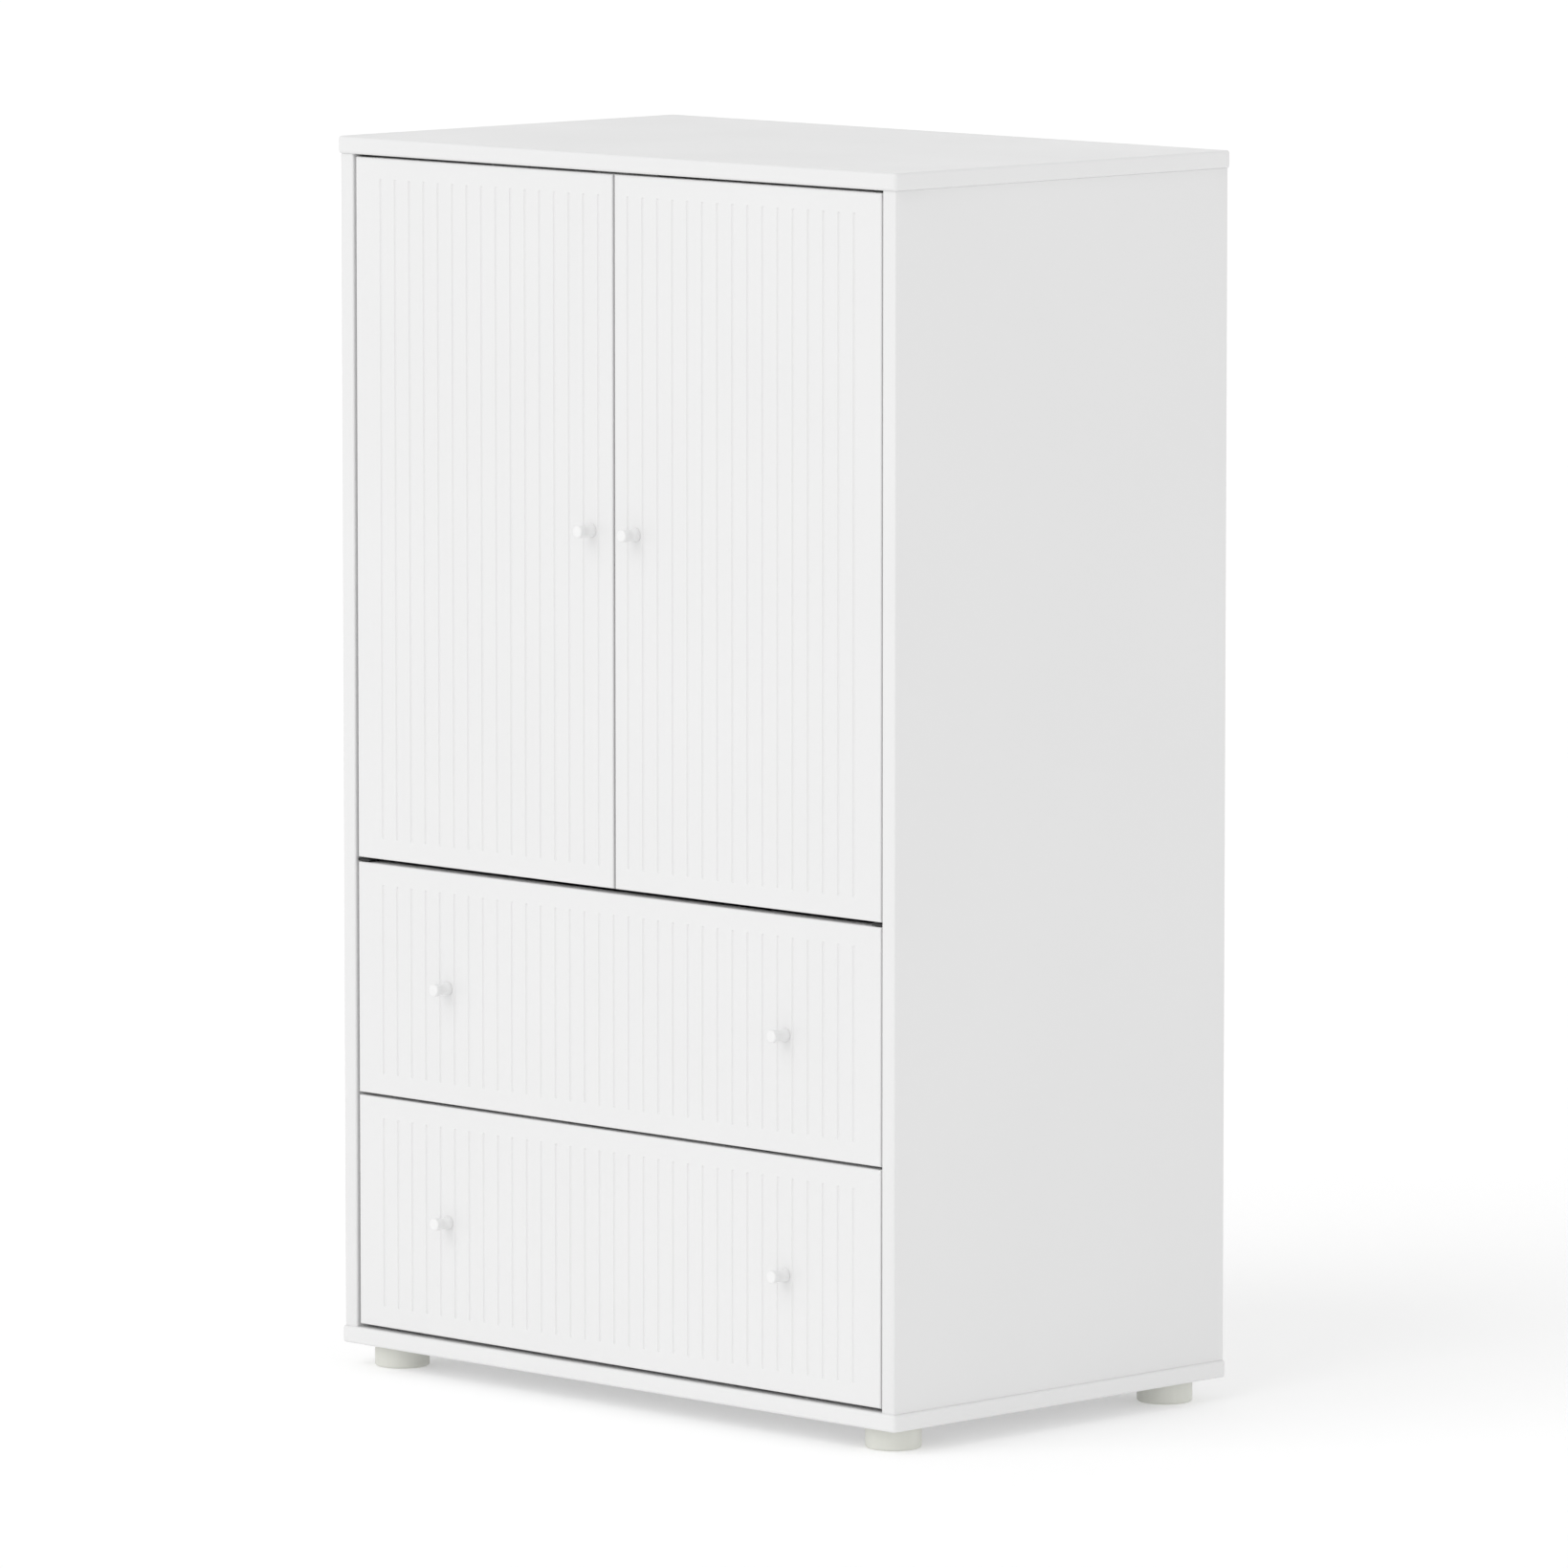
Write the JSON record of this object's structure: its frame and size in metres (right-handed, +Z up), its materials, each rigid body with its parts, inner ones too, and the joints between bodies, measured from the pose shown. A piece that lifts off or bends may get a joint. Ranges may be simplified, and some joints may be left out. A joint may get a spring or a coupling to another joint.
{
  "type": "wardrobe with doors",
  "caption": "Small white wardrobe with grooved inset doors over grooved drawers, small turned knobs and round feet, for hanging and folded clothes.",
  "frame": {"origin": "on the floor, at the middle of the width and of the depth, knobs included", "axes": "+Z up and the longest side; the doors and drawers face -Y; the width runs along X; +Y, the depth, is the shortest side"},
  "size_m": [0.805, 0.4996, 1.2805],
  "materials": {
    "carcass_lacquer": "satin white lacquer on board",
    "front_lacquer": "satin white lacquer on grooved board",
    "inner_board": "matt white melamine board",
    "knob_lacquer": "satin white lacquer on turned wood",
    "foot_lacquer": "matt grey-beige lacquer on turned wood",
    "rail_chrome": "polished",
    "runner_zinc": "zinc plated, dull",
    "fitting_steel": "nickel plated",
    "pivot_coating": "black powder coat on steel",
    "screw_zinc": "zinc plated",
    "white_plastic": "fine matt",
    "bush_plastic": "fine matt",
    "dowel_beech": "raw"
  },
  "bodies": {
    "carcass": {"left_side_panel": "carcass_lacquer", "right_side_panel": "carcass_lacquer", "top_panel": "carcass_lacquer", "bottom_panel": "carcass_lacquer", "fixed_shelf": "inner_board", "back_panel": "inner_board", "wall_fixing_batten": "inner_board", "clothes_rail": "rail_chrome", "rail_sockets": "white_plastic", "front_left_foot": "foot_lacquer", "front_right_foot": "foot_lacquer", "rear_left_foot": "foot_lacquer", "rear_right_foot": "foot_lacquer", "magnetic_catch": "white_plastic", "left_top_pivot": "pivot_coating", "right_top_pivot": "pivot_coating", "left_bottom_pivot": "pivot_coating", "right_bottom_pivot": "pivot_coating", "upper_left_outer_rail": "runner_zinc", "upper_right_outer_rail": "runner_zinc", "lower_left_outer_rail": "runner_zinc", "lower_right_outer_rail": "runner_zinc", "carcass_screws": "screw_zinc", "cam_locks": "screw_zinc", "cam_bolts": "fitting_steel", "dowels": "dowel_beech"},
    "left_door": {"left_door_panel": "front_lacquer", "left_door_knob": "knob_lacquer", "left_door_strike": "fitting_steel", "left_door_bushes": "bush_plastic", "left_door_screw": "screw_zinc"},
    "right_door": {"right_door_panel": "front_lacquer", "right_door_knob": "knob_lacquer", "right_door_strike": "fitting_steel", "right_door_bushes": "bush_plastic", "right_door_screw": "screw_zinc"},
    "upper_drawer": {"upper_drawer_front": "front_lacquer", "upper_drawer_left_side": "inner_board", "upper_drawer_right_side": "inner_board", "upper_drawer_back": "inner_board", "upper_drawer_bottom": "inner_board", "upper_drawer_left_knob": "knob_lacquer", "upper_drawer_right_knob": "knob_lacquer", "upper_left_inner_rail": "runner_zinc", "upper_right_inner_rail": "runner_zinc", "upper_drawer_fixings": "screw_zinc"},
    "lower_drawer": {"lower_drawer_front": "front_lacquer", "lower_drawer_left_side": "inner_board", "lower_drawer_right_side": "inner_board", "lower_drawer_back": "inner_board", "lower_drawer_bottom": "inner_board", "lower_drawer_left_knob": "knob_lacquer", "lower_drawer_right_knob": "knob_lacquer", "lower_left_inner_rail": "runner_zinc", "lower_right_inner_rail": "runner_zinc", "lower_drawer_fixings": "screw_zinc"},
    "upper_runner_middles": {"upper_middle_rails": "runner_zinc", "upper_ball_cages": "fitting_steel"},
    "lower_runner_middles": {"lower_middle_rails": "runner_zinc", "lower_ball_cages": "fitting_steel"}
  },
  "joints": [
    {"name": "left_door_hinge", "type": "hinge", "parent": "carcass", "child": "left_door", "pos_m": [-0.3715, -0.22125, 0.89725], "axis": [0, 0, -1], "range_deg": [0, 105]},
    {"name": "right_door_hinge", "type": "hinge", "parent": "carcass", "child": "right_door", "pos_m": [0.3715, -0.22125, 0.89725], "axis": [0, 0, 1], "range_deg": [0, 105]},
    {"name": "upper_drawer_slide", "type": "slide", "parent": "carcass", "child": "upper_drawer", "axis": [0, -1, 0], "range_m": [0, 0.38]},
    {"name": "lower_drawer_slide", "type": "slide", "parent": "carcass", "child": "lower_drawer", "axis": [0, -1, 0], "range_m": [0, 0.38]},
    {"name": "upper_runner_slide", "type": "slide", "parent": "carcass", "child": "upper_runner_middles", "axis": [0, -1, 0], "range_m": [0, 0.19]},
    {"name": "lower_runner_slide", "type": "slide", "parent": "carcass", "child": "lower_runner_middles", "axis": [0, -1, 0], "range_m": [0, 0.19]}
  ],
  "couplings": [
    {"joint": "upper_runner_slide", "follows": "upper_drawer_slide", "ratio": 0.5},
    {"joint": "lower_runner_slide", "follows": "lower_drawer_slide", "ratio": 0.5}
  ]
}
